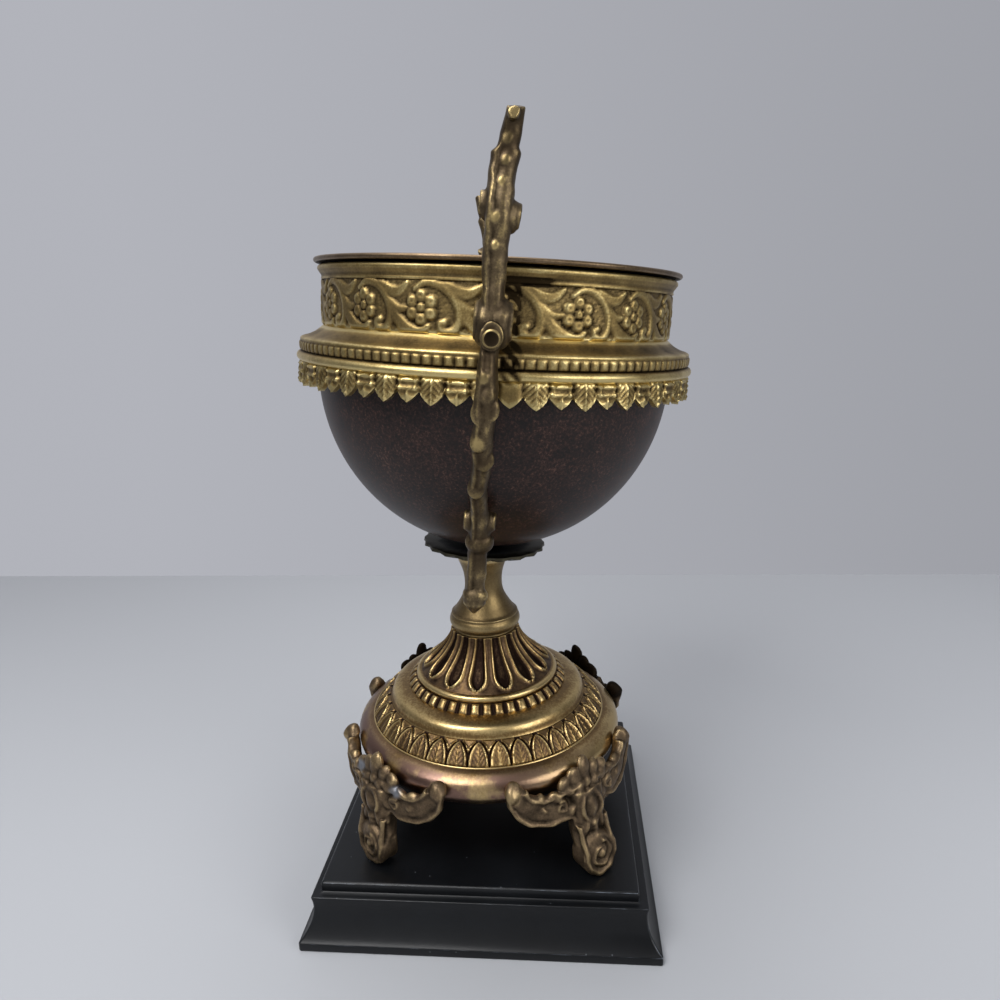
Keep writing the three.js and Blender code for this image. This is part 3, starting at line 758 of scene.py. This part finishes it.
# Tinted lacquer over metal: nearly black with reddish brown mottling that shows through, fine
# specks drawn coarse enough to show, and a clear glossy coat.
lacquer, lacquer_shader = new_finish(
    "mottled_dark_lacquer",
    {"IOR": 1.45, "Specular IOR Level": 0.3, "Coat Weight": 0.14, "Coat Roughness": 0.2},
)
place = add(lacquer, "TexCoord").outputs["Object"]
blotch = add(
    lacquer, "TexNoise", {"Scale": 1 / (9 * MM), "Detail": 6, "Roughness": 0.65}, {"Vector": place}
)
fleck = add(
    lacquer, "TexNoise", {"Scale": 1 / (1.1 * MM), "Detail": 5, "Roughness": 0.75}, {"Vector": place}
)
mingled = add(lacquer, "Mix", {"data_type": "FLOAT", 0: 0.78}, {2: blotch, 3: fleck})
ground = add(
    lacquer, "ValToRGB",
    {"stops": [(0.4, "#0d0908"), (0.5, "#21130f"), (0.57, "#38241d"), (0.67, "#5e4339")]},
    {"Fac": mingled},
)
gloss = add(lacquer, "MapRange", {"To Min": 0.36, "To Max": 0.6}, {"Value": fleck})
orange_peel = add(lacquer, "Bump", {"Strength": 0.12, "Distance": 0.15 * MM}, {"Height": fleck})
dress(lacquer, lacquer_shader, {"Base Color": ground, "Roughness": gloss, "Normal": orange_peel})
bowl = made("lacquered_bowl", leaning(loft(revolved(bowl_profile, around(192)))), lacquer, crease=50)
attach(bowl, "root")
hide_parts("bowl")

# Collar
# A ring cast in brass and gilt with lacquer: a fringe of leaves, a rounded ring, a seat of beads, a
# cove, a frieze of scrolling vine with rosettes, and a moulded top. It sits on the bowl's rim.
COLLAR_INSIDE = 70.0
RING_RADIUS = 82.5
RING_LOW = 237.0
FRIEZE_RADIUS = 71.8
FRIEZE_MIDDLE = 259.4
FRIEZE_LOW = 251.0
FRIEZE_HIGH = 268.4
COLLAR_TOP = 274.2
ROSETTES = 18
BAY_COLUMNS = 44
BEADS = 132
BEAD_COLUMNS = 6
BEAD_TURN = 1.0
FRINGE_LEAVES = 58
FRINGE_TURN = -1.45
FRINGE_DROP = 9.8
FRINGE_NOTCH = 5.6
LEAF_COLUMNS = 16
TORN_LEAF = 1
bay = 2 * math.pi * FRIEZE_RADIUS / ROSETTES


def stroke(u, v, path, widths, height, groove=0.0):
    """Height of a rounded stroke along a path, with a groove down its middle."""
    line = curve(path, 28)
    width = np.interp(np.linspace(0, 1, len(line)), np.linspace(0, 1, len(widths)), widths)
    raised = np.zeros(np.broadcast(u, v).shape)
    for shift in (-bay, 0, bay):
        for start, end, half in zip(line[:-1] + (shift, 0), line[1:] + (shift, 0), width):
            step = end - start
            t = np.clip(((u - start[0]) * step[0] + (v - start[1]) * step[1]) / (step @ step), 0, 1)
            away = np.hypot(u - start[0] - t * step[0], v - start[1] - t * step[1]) / half
            round_top = np.sqrt(np.clip(1 - away**2, 0, 1)) - groove * ridge(away, 0.35)
            raised = np.maximum(raised, height * np.clip(round_top, 0, 1))
    return raised


def frieze_relief(u, v):
    """One bay: a crook of vine, an upper and a lower leaf, a tendril, and a rosette of six petals."""
    crook = [
        (-2.4, 6), (1, 8.1), (5, 7.9), (9.4, 5.2), (12.3, 0.4), (12.6, -4.4), (10.4, -7.6), (7.4, -7.2),
        (6.6, -5.4), (8, -4.6),
    ]
    upper = [(4.2, 8.2), (9, 6.9), (13, 5.2), (16.5, 5.4), (19.6, 7.8)]
    lower = [(12.2, 1.6), (13.8, -1.4), (17.2, -5.2), (20.8, -7.4), (25, -7.8), (27.8, -6)]
    tendril = [(9.6, 4.9), (13.2, 1.4), (16.2, -0.6), (19.6, -0.3)]
    raised = stroke(u, v, crook, [1.0, 1.5, 1.6, 1.6, 1.6, 1.5, 1.4], 0.8)
    raised = np.maximum(raised, stroke(u, v, upper, [0.9, 1.8, 2.1, 1.7, 0.8], 0.8, 0.4))
    raised = np.maximum(raised, stroke(u, v, lower, [0.9, 2.0, 2.4, 2.1, 1.4, 0.8], 0.9, 0.4))
    raised = np.maximum(raised, stroke(u, v, tendril, [0.9, 1.6, 1.6, 0.8], 0.7))
    for petal in range(7):
        angle = math.radians(90 + 60 * petal)
        reach, size = (3.9, 2.3) if petal < 6 else (0, 1.8)
        away = np.hypot(u - reach * math.cos(angle), v - reach * math.sin(angle)) / size
        dimpled = 1.15 * np.sqrt(np.clip(1 - away**2, 0, 1)) - 0.4 * ridge(away, 0.32)
        raised = np.maximum(raised, dimpled)
    return raised


frieze_columns = ROSETTES * BAY_COLUMNS
frieze_rows = np.linspace(FRIEZE_LOW, FRIEZE_HIGH, 40)
bay_u = cell(frieze_columns, ROSETTES)[:BAY_COLUMNS] * bay
one_bay = frieze_relief(bay_u[None, :], (frieze_rows - FRIEZE_MIDDLE)[:, None])
stipple = np.random.default_rng(7).normal(0, 0.07, (len(frieze_rows), frieze_columns))
frieze = np.tile(one_bay, ROSETTES)
frieze = frieze + stipple * np.where(frieze < 0.15, 1.0, 0.35)
frieze *= smoothstep(FRIEZE_LOW, FRIEZE_LOW + 0.6, frieze_rows)[:, None]
moulding = np.vstack(
    [
        [(FRIEZE_RADIUS + 0.5, FRIEZE_HIGH + 0.1), (FRIEZE_RADIUS + 0.8, FRIEZE_HIGH + 0.6)],
        curve([(FRIEZE_RADIUS + 0.6, 269.4), (FRIEZE_RADIUS + 0.7, 270.2), (FRIEZE_RADIUS + 1.3, 271)], 6),
        arc(1.3, FRIEZE_RADIUS + 0.9, 272.7, -50, 88, 9),
        [(COLLAR_INSIDE + 0.4, COLLAR_TOP), (COLLAR_INSIDE, COLLAR_TOP - 0.4), (COLLAR_INSIDE, 251)],
    ]
)
frieze_profile = np.stack([np.full(len(frieze_rows), FRIEZE_RADIUS), frieze_rows], -1)
# The two bays at the front handle are wider than the others
frieze_turn = np.interp(around(frieze_columns), [0, 20, 340, 360], [1.75, 23.6, 339.9, 361.75])
frieze_ring = np.vstack([revolved(frieze_profile, frieze_turn, frieze), revolved(moulding, frieze_turn)])
seat_columns = BEADS * BEAD_COLUMNS
seat_turn = around(seat_columns, BEAD_TURN)
seat_rows = np.linspace(0, 1, 9)
across_bead = cell(seat_columns, BEADS)[None, :]
bead = np.sqrt(np.clip(1 - np.abs(across_bead / 0.43) ** 3, 0, 1))
bead = bead * np.sqrt(np.clip(1 - np.abs(2 * seat_rows - 1) ** 3, 0, 1))[:, None]
cove = curve(
    [
        (81.0, 244.9), (80.9, 245.7), (80.0, 246.3), (77.6, 247.0), (75.0, 248.3), (73.0, 249.8),
        (FRIEZE_RADIUS, FRIEZE_LOW),
    ],
    14,
)
seat_inside = [(COLLAR_INSIDE, 250.8), (COLLAR_INSIDE, 240.1), (74.3, 240.1), (74.3, RING_LOW)]
bead_profile = np.stack([80.6 + 0.3 * seat_rows, 240.9 + 3.8 * seat_rows], -1)
seat_ring = np.vstack(
    [
        revolved([*seat_inside, (RING_RADIUS - 2, RING_LOW)], seat_turn),
        revolved(arc(1.75, RING_RADIUS - 1.75, 238.8, -80, 78, 9), seat_turn),
        revolved(bead_profile, seat_turn, 0.7 * bead),
        revolved(cove, seat_turn),
    ]
)

# The fringe is a skirt of hanging leaves, by turns a veined leaf and a barred shield.
fringe_columns = FRINGE_LEAVES * LEAF_COLUMNS
leaf_of = (np.arange(fringe_columns) / LEAF_COLUMNS + 0.5).astype(int) % FRINGE_LEAVES
leaf_pitch = 2 * math.pi * (RING_RADIUS - 2) / FRINGE_LEAVES
leaf_s = cell(fringe_columns, FRINGE_LEAVES)
leaf_x = np.abs(leaf_s) * leaf_pitch
veined = (leaf_of % 2 == 0).astype(float)
whole = (leaf_of != TORN_LEAF).astype(float)
pointed = 0.5 * np.abs(2 * leaf_s) ** 0.9 + 0.5 * np.abs(2 * leaf_s) ** 2.4
hang = (0.95 + 0.05 * veined) * FRINGE_DROP - (FRINGE_DROP - FRINGE_NOTCH) * pointed
hang_rows = np.linspace(1, 0, 14)[:, None]
depth = hang_rows * hang[None, :]
fan = 0.6 * (0.5 + 0.5 * np.cos(2 * np.pi * (depth - leaf_x) / 2.1)) + 0.5 * ridge(leaf_x, 0.45)
bars = 0.8 * ridge(depth - 1.7, 0.5) + 0.8 * ridge(depth - 4.5, 0.5) + 0.5 * ridge(leaf_x - 3.0, 0.5)
shield_tip = 0.5 * ridge(depth - 6.4 - 0.8 * leaf_x, 0.5) + 0.5 * ridge(leaf_x, 0.5)
shield = np.where(depth < 5.2, bars, shield_tip)
veins = whole * (veined * fan + (1 - veined) * shield)
belly = 0.9 * np.clip(1 - (2 * leaf_s) ** 4, 0, 1) * smoothstep(0, 0.2, hang_rows)
fringe_turn = np.radians(around(fringe_columns, FRINGE_TURN))
front = RING_RADIUS - 2.6 + 0.5 * hang_rows + belly + veins
back_rows = np.linspace(0, 1, 4)[:, None]
back = np.broadcast_to(RING_RADIUS - 3.6 + 0.5 * back_rows, (len(back_rows), fringe_columns))
fringe_reach = np.vstack([front, back])
fringe_height = RING_LOW + 0.6 - np.vstack([depth, back_rows * hang[None, :]])
fringe_rings = np.stack(
    [fringe_reach * np.cos(fringe_turn), fringe_reach * np.sin(fringe_turn), fringe_height], -1
)
collar_rings = (frieze_ring, seat_ring, fringe_rings)
collar_points, collar_faces = gathered([loft(rings, closed=True) for rings in collar_rings])

# Cast brass under gilt lacquer: warm gold on the crests, partly painted highlight, brown where the ground
# was never wiped, partly painted shade.
gilt_brass = aged_metal(
    "gilt_brass", ["#2a2114", "#6c5b3c", "#957f50", "#d2bd83"],
    reach=0.55, roughness=0.4, mottle=10, grain=0.7,
)

# A shadow is painted under the rim behind the front handle, and black dirt has gathered below it and on the
# torn leaf under it
collar_arc = np.degrees(np.arctan2(collar_points[:, 1], collar_points[:, 0]))
collar_rise = collar_points[:, 2]
rim_shadow = smoothstep(8, 4, np.abs(collar_arc - 9)) * smoothstep(1.8, 1.0, np.abs(collar_rise - 269.2))
streak = smoothstep(3.2, 1.4, np.abs(collar_arc - 4.6)) * smoothstep(235, 237, collar_rise)
streak = streak * (collar_rise < 269) * (0.55 + 0.45 * np.sin(1.3 * collar_rise + 2 * collar_arc))
collar = made("cast_collar", leaning((collar_points, collar_faces)), gilt_brass, crease=70)
mark_crests(collar, rounds=10, extra=-0.9 * np.maximum(rim_shadow, streak))
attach(collar, "root")
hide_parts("collar")

# Liner
# A spun brass dish that lifts out, with a flat rolled flange that rests on the collar's top.
# It is thin, browned with age, and empty.
LINER_RADIUS = 75.5
LINER_TOP = 276.7
LINER_WALL = 1.2
LINER_DEPTH = 34.0
liner_wall = COLLAR_INSIDE - 1.4
liner_floor = LINER_TOP - LINER_DEPTH
liner_profile = np.vstack(
    [
        [(radius, liner_floor) for radius in (0.6, 20, 40, 54, liner_wall - 10)],
        arc(9, liner_wall - 9, liner_floor + 9, -90, 0, 10),
        [(liner_wall, COLLAR_TOP + 0.3), (FRIEZE_RADIUS - 0.6, COLLAR_TOP + 0.3)],
        [(FRIEZE_RADIUS - 0.4, LINER_TOP - 1.9)],
        arc(0.95, LINER_RADIUS - 0.95, LINER_TOP - 0.95, -90, 90, 10),
        [(liner_wall + 2, LINER_TOP - 0.3)],
        arc(1.6, liner_wall + 0.5, LINER_TOP - 2.0, 95, 178, 6),
        [(liner_wall - LINER_WALL, liner_floor + 10)],
        arc(8, liner_wall - 9, liner_floor + 9.2, 0, -90, 10),
        [(radius, liner_floor + LINER_WALL) for radius in (54, 40, 20, 0.6)],
    ]
)

# Spun brass without lacquer: an even dull brown, a little lighter along the rolled edge, partly painted
# highlight.
rim_brass = aged_metal(
    "rim_brass", ["#1f1812", "#45382a", "#5d4d3a", "#86725a"],
    reach=0.5, roughness=0.4, mottle=14, grain=0.8,
)
liner = made("lift_out_liner", leaning(loft(revolved(liner_profile, around(224)))), rim_brass, crease=40)
mark_crests(liner, rounds=6)
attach(liner, "root")
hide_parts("liner")

# Pins and handles
# Each handle is a flat scroll cast in brass, an S with volutes on both faces, knots like a branch's
# and a bud at its foot. It hangs on a plain turned pin riveted through the collar's wall, askew.
PIN_HEIGHT = 251.0
PIN_RADIUS = 3.0
PIN_END = 94.5
HANDLE_AZIMUTHS = {"front": 0, "back": 180}
HANDLE_SKEWS = {"front": 1.5, "back": 8.5}
HANDLE_BEND = 0.07
HANDLE_BEND_START = 24.0
HANDLE_VOXEL = 0.42

# Cast brass dulled by handling and damp: olive brown in stains, bright yellow on the knots, partly worn and
# partly painted highlights.
dull_brass = aged_metal(
    "dull_brass", ["#1b160f", "#4a3f30", "#6d5e47", "#bca571"],
    reach=0.55, roughness=0.44, mottle=8, grain=0.8, tint="#45392b",
)
pin_profile = [
    (2.2, COLLAR_INSIDE + 0.3), (PIN_RADIUS, COLLAR_INSIDE + 0.8), (PIN_RADIUS, PIN_END - 0.5),
    (PIN_RADIUS - 0.15, PIN_END - 0.3), (PIN_RADIUS - 0.5, PIN_END), (PIN_RADIUS - 0.8, PIN_END - 0.05),
    (1.6, PIN_END - 0.12),
]
pin_points, pin_faces = loft(revolved(pin_profile, around(64)))
pin_points = pin_points[:, [2, 0, 1]] + (0, 0, PIN_HEIGHT)
pin_middle = np.hypot(pin_points[:, 1], pin_points[:, 2] - PIN_HEIGHT) < 2.4


def upright(pairs, across=0.0):
    """Pairs of reach and height as points in the plane y = across."""
    pairs = np.asarray(pairs, float)
    return np.stack([pairs[:, 0], np.broadcast_to(across, len(pairs)), pairs[:, 1]], -1)


spine = curve(
    [
        (89.5, 317.4), (86.8, 309), (86.2, 300), (88.4, 290), (86.6, 278), (85.2, 266),
        (86.8, PIN_HEIGHT), (88.6, 238), (87.2, 225), (82.4, 213), (74.4, 200), (66.6, 188),
        (62.2, 176), (60.6, 163), (60.2, 150),
    ],
    170,
)

# Down the handle: height, how far the casting wanders sideways, and half its width
branch = [
    (317.4, -0.4, 2.8), (309, -1.0, 3.2), (307, -1.2, 3.3), (305.6, -1.6, 4.7), (299, -1.9, 4.3),
    (280, -0.9, 4.1), (262, -0.4, 3.6), (PIN_HEIGHT, 0, 3.4), (246, -0.7, 3.1), (236, -0.5, 3.7),
    (228.5, -0.5, 4.2), (224, -0.4, 3.3), (218.3, -1.2, 3.9), (210.8, -0.4, 3.5), (205, -0.9, 3.3),
    (199.6, -1.5, 3.2), (193, -0.9, 3.0), (186, -0.3, 3.4), (176, 0, 4.1), (170, -0.3, 3.6),
    (150, -0.3, 3.6),
]
branch_height, branch_sway, branch_half = np.array(branch)[::-1].T
sway = np.interp(spine[:, 1], branch_height, branch_sway)
half = np.interp(spine[:, 1], branch_height, branch_half)
core = np.interp(spine[:, 1], [150, 168, 176, 250, 300, 309, 318], [2.6, 2.8, 4.0, 4.4, 3.8, 3.0, 2.6])
handle_forms = [
    bar(upright(spine, sway + 0.14 * half), (0, 1, 0), core, 0.86 * half),
    bar(upright(spine, sway - 0.56 * half), (0, 1, 0), core + 0.1, 0.44 * half, 12),
]


def knot(height, across, out, size):
    """A lump on the handle's outer edge at a height, standing out of it."""
    nearest = np.argmin(np.abs(spine[:, 1] - height))
    reach = spine[nearest, 0] + core[nearest] + out
    return ball((reach, sway[nearest] + across, height), (1.4, size, 1.3 * size))


for height, across, out, size in (
    (309.0, -0.6, -0.9, 2.2), (302.8, 0.2, -0.9, 1.9), (296.6, 0.2, -1.1, 1.9), (286.8, -0.6, -1.0, 2.0),
    (278.8, -0.2, -1.0, 1.8), (238.6, -0.9, -0.9, 2.2), (233.2, 0.3, -0.9, 2.6), (227.6, -1.6, -1.6, 3.2),
    (228.8, 1.6, -1.6, 3.2), (218.0, -0.8, -0.9, 3.0), (211.4, 0.8, -1.2, 3.2), (200.2, -0.6, -1.0, 3.2),
):
    handle_forms.append(knot(height, across, out, size))
for hand in (-1, 1):
    for centre, radius, start, span, shift in (
        ((85.6, 289 - 1.6 * hand), 5.1, 150, 6.3, -1.1),
        ((82.6, PIN_HEIGHT + 4.6), 8.3, 80, 5.9, 0.0),
        ((62.6, 184), 4.5, 100, 5.4, -0.3),
    ):
        outside = shift + hand * span
        inside = shift + hand * 0.3
        steps = np.linspace(inside, outside, 6)
        disc = np.column_stack([np.full(6, centre[0]), steps, np.full(6, centre[1])])
        round_off = radius * np.array([1, 1, 1, 0.97, 0.87, 0.55])
        handle_forms.append(bar(disc, (1, 0, 0), round_off, round_off, 32))
        turns = spiral(centre, 0.75 * radius, 0.9, start, -560, 60)
        handle_forms.append(bar(upright(turns, outside - hand * 0.4), (0, 1, 0), 0.8, 0.8, 10))
bud_tip = [4.4, 4.3, 2.9, 0.5]
handle_forms += [
    bar(upright([(89.4, 314.6), (93.0, 315.2)], -0.7), (0, 1, 0), 2.0, 1.9, 24),
    bar(np.array([(80.0, 0, PIN_HEIGHT + 0.8), (92.9, 0, PIN_HEIGHT + 0.8)]), (0, 1, 0), 4.5, 3.7, 28),
    ball((62.6, 0, 176.2), (4.8, 5.4, 4.8)),
    ball((60.2, -0.3, 154.0), (4.6, 4.9, 3.9)),
    bar(np.array([(60.2, -0.3, z) for z in (153, 150.8, 149, 146.4)]), (0, 1, 0), bud_tip, bud_tip, 24),
]
handle_points, handle_faces = cast("handle", handle_forms, HANDLE_VOXEL, passes=3, uneven=0.35, lump=4.0)

# Painted highlights on the knots of the handle's outer face, a dark face round the pin, and the bend
# of the upper part to one side
highlit_knots = np.zeros(len(handle_points))
face_reach = np.interp(handle_points[:, 2], spine[::-1, 1], (spine[:, 0] + 0.5 * core)[::-1])
on_face = handle_points[:, 0] > face_reach
for height, across, size in (
    (314.9, -0.7, 1.7), (309.2, -1.6, 1.6), (302.8, -1.5, 1.5), (296.6, -1.8, 1.1), (286.8, -2.2, 1.5),
    (278.8, -1.2, 1.1), (238.6, -1.6, 1.4), (218, -2.0, 2.0),
):
    away = np.hypot(handle_points[:, 1] - across, 0.8 * (handle_points[:, 2] - height)) / size
    highlit_knots = np.maximum(highlit_knots, 0.36 * smoothstep(1.3, 0.4, away) * on_face)
lug_face = (handle_points[:, 0] > 91) * (np.abs(handle_points[:, 2] - PIN_HEIGHT) < 7)
above_bend = np.maximum(0, handle_points[:, 2] - PIN_HEIGHT - HANDLE_BEND_START)
handle_points[:, 1] += HANDLE_BEND * above_bend

pivot = (0, 0, PIN_HEIGHT)
for side_name, azimuth in HANDLE_AZIMUTHS.items():
    turn = rotation(azimuth, "Z")
    hung = (handle_points - pivot) @ rotation(-HANDLE_SKEWS[side_name], "X") + pivot
    pin = made(f"turned_pin_{side_name}", leaning((pin_points @ turn, pin_faces)), dull_brass, crease=40)
    mark_crests(pin, rounds=4, extra=-0.5 * pin_middle)
    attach(pin, "root")
    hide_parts(f"pin_{side_name}")
    handle = made(f"scroll_handle_{side_name}", leaning((hung @ turn, handle_faces)), dull_brass)
    mark_crests(handle, rounds=16, extra=highlit_knots - 0.25 * lug_face)
    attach(handle, "root")
    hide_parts(f"handle_{side_name}")

# Studio
# A pale floor, soft lights from the front left, the front, the right and above, and a grey surround
# that is brighter behind. The camera is close, level with the collar, and looks down a little.
FLOOR_HALF = 4000.0
FLOOR_BACK = -373.0
floor_corners = [
    (FLOOR_BACK, -FLOOR_HALF), (FLOOR_HALF, -FLOOR_HALF), (FLOOR_HALF, FLOOR_HALF), (FLOOR_BACK, FLOOR_HALF),
]
floor_form = (flat(floor_corners), [(0, 1, 2, 3)])
floor_paint, _ = new_finish("pale_floor", {"Base Color": linear("#aaacb0"), "Roughness": 0.8})
floor = made("studio_floor", floor_form, floor_paint)

surround = bpy.data.worlds.new("studio")
surround.use_nodes = True
backdrop = surround.node_tree.nodes["Background"]
backdrop.inputs["Color"].default_value = linear("#dcdee7")
toward = add(surround, "SeparateXYZ", (), {0: add(surround, "TexCoord").outputs["Generated"]})
behind = add(
    surround, "MapRange", {"From Min": -0.2, "From Max": -0.62, "To Min": 0.2, "To Max": 0.55},
    {"Value": toward.outputs["X"]},
)
sideways = add(
    surround, "MapRange", {"From Min": -0.5, "From Max": 0.5, "To Min": 0.07, "To Max": -0.07},
    {"Value": toward.outputs["Y"]},
)
overhead = add(
    surround, "MapRange", {"From Min": 0.45, "From Max": 0.95, "To Max": 0.4},
    {"Value": toward.outputs["Z"]},
)
level = add(surround, "Math", {"operation": "ADD"}, {0: behind, 1: sideways})
light = add(surround, "Math", {"operation": "ADD"}, {0: level, 1: overhead})
dress(surround, backdrop, {"Strength": light})
bpy.context.scene.world = surround

LAMP_AIM = Vector((0, 0, 0.18))
for lamp_name, lamp_place, size, power in (
    ("key", (0.45, -0.32, 0.85), 0.5, 6.0),
    ("front", (1.0, -0.25, 0.45), 0.9, 1.2),
    ("fill", (0.5, 0.75, 0.5), 0.6, 4.0),
    ("top", (-0.1, -0.1, 1.1), 0.6, 4.5),
):
    lamp = bpy.data.lights.new(lamp_name, "AREA")
    lamp.size = size
    lamp.energy = power
    lamp_object = placed(lamp_name, lamp)
    lamp_object.location = lamp_place
    lamp_object.rotation_mode = "QUATERNION"
    lamp_object.rotation_quaternion = (Vector(lamp_place) - LAMP_AIM).to_track_quat("Z", "Y")

CAMERA_PLACE = (0.32577, 0.03815, 0.263)
CAMERA_HEADING = 185.11
CAMERA_DIP = 14.83
CAMERA_ROLL = -1.93
FOCAL_PIXELS = 751.0
PHOTO_PIXELS = 1000.0
camera_data = bpy.data.cameras.new("camera")
camera_data.sensor_width = 36.0
camera_data.lens = camera_data.sensor_width * FOCAL_PIXELS / PHOTO_PIXELS
camera_data.clip_start = 0.01
camera = placed("camera", camera_data)
camera.matrix_world = (
    Matrix.Translation(CAMERA_PLACE)
    @ Matrix.Rotation(math.radians(CAMERA_HEADING - 90), 4, "Z")
    @ Matrix.Rotation(math.radians(90 - CAMERA_DIP), 4, "X")
    @ Matrix.Rotation(math.radians(CAMERA_ROLL), 4, "Z")
)
bpy.context.scene.camera = camera
bpy.context.scene.view_settings.view_transform = "Standard"
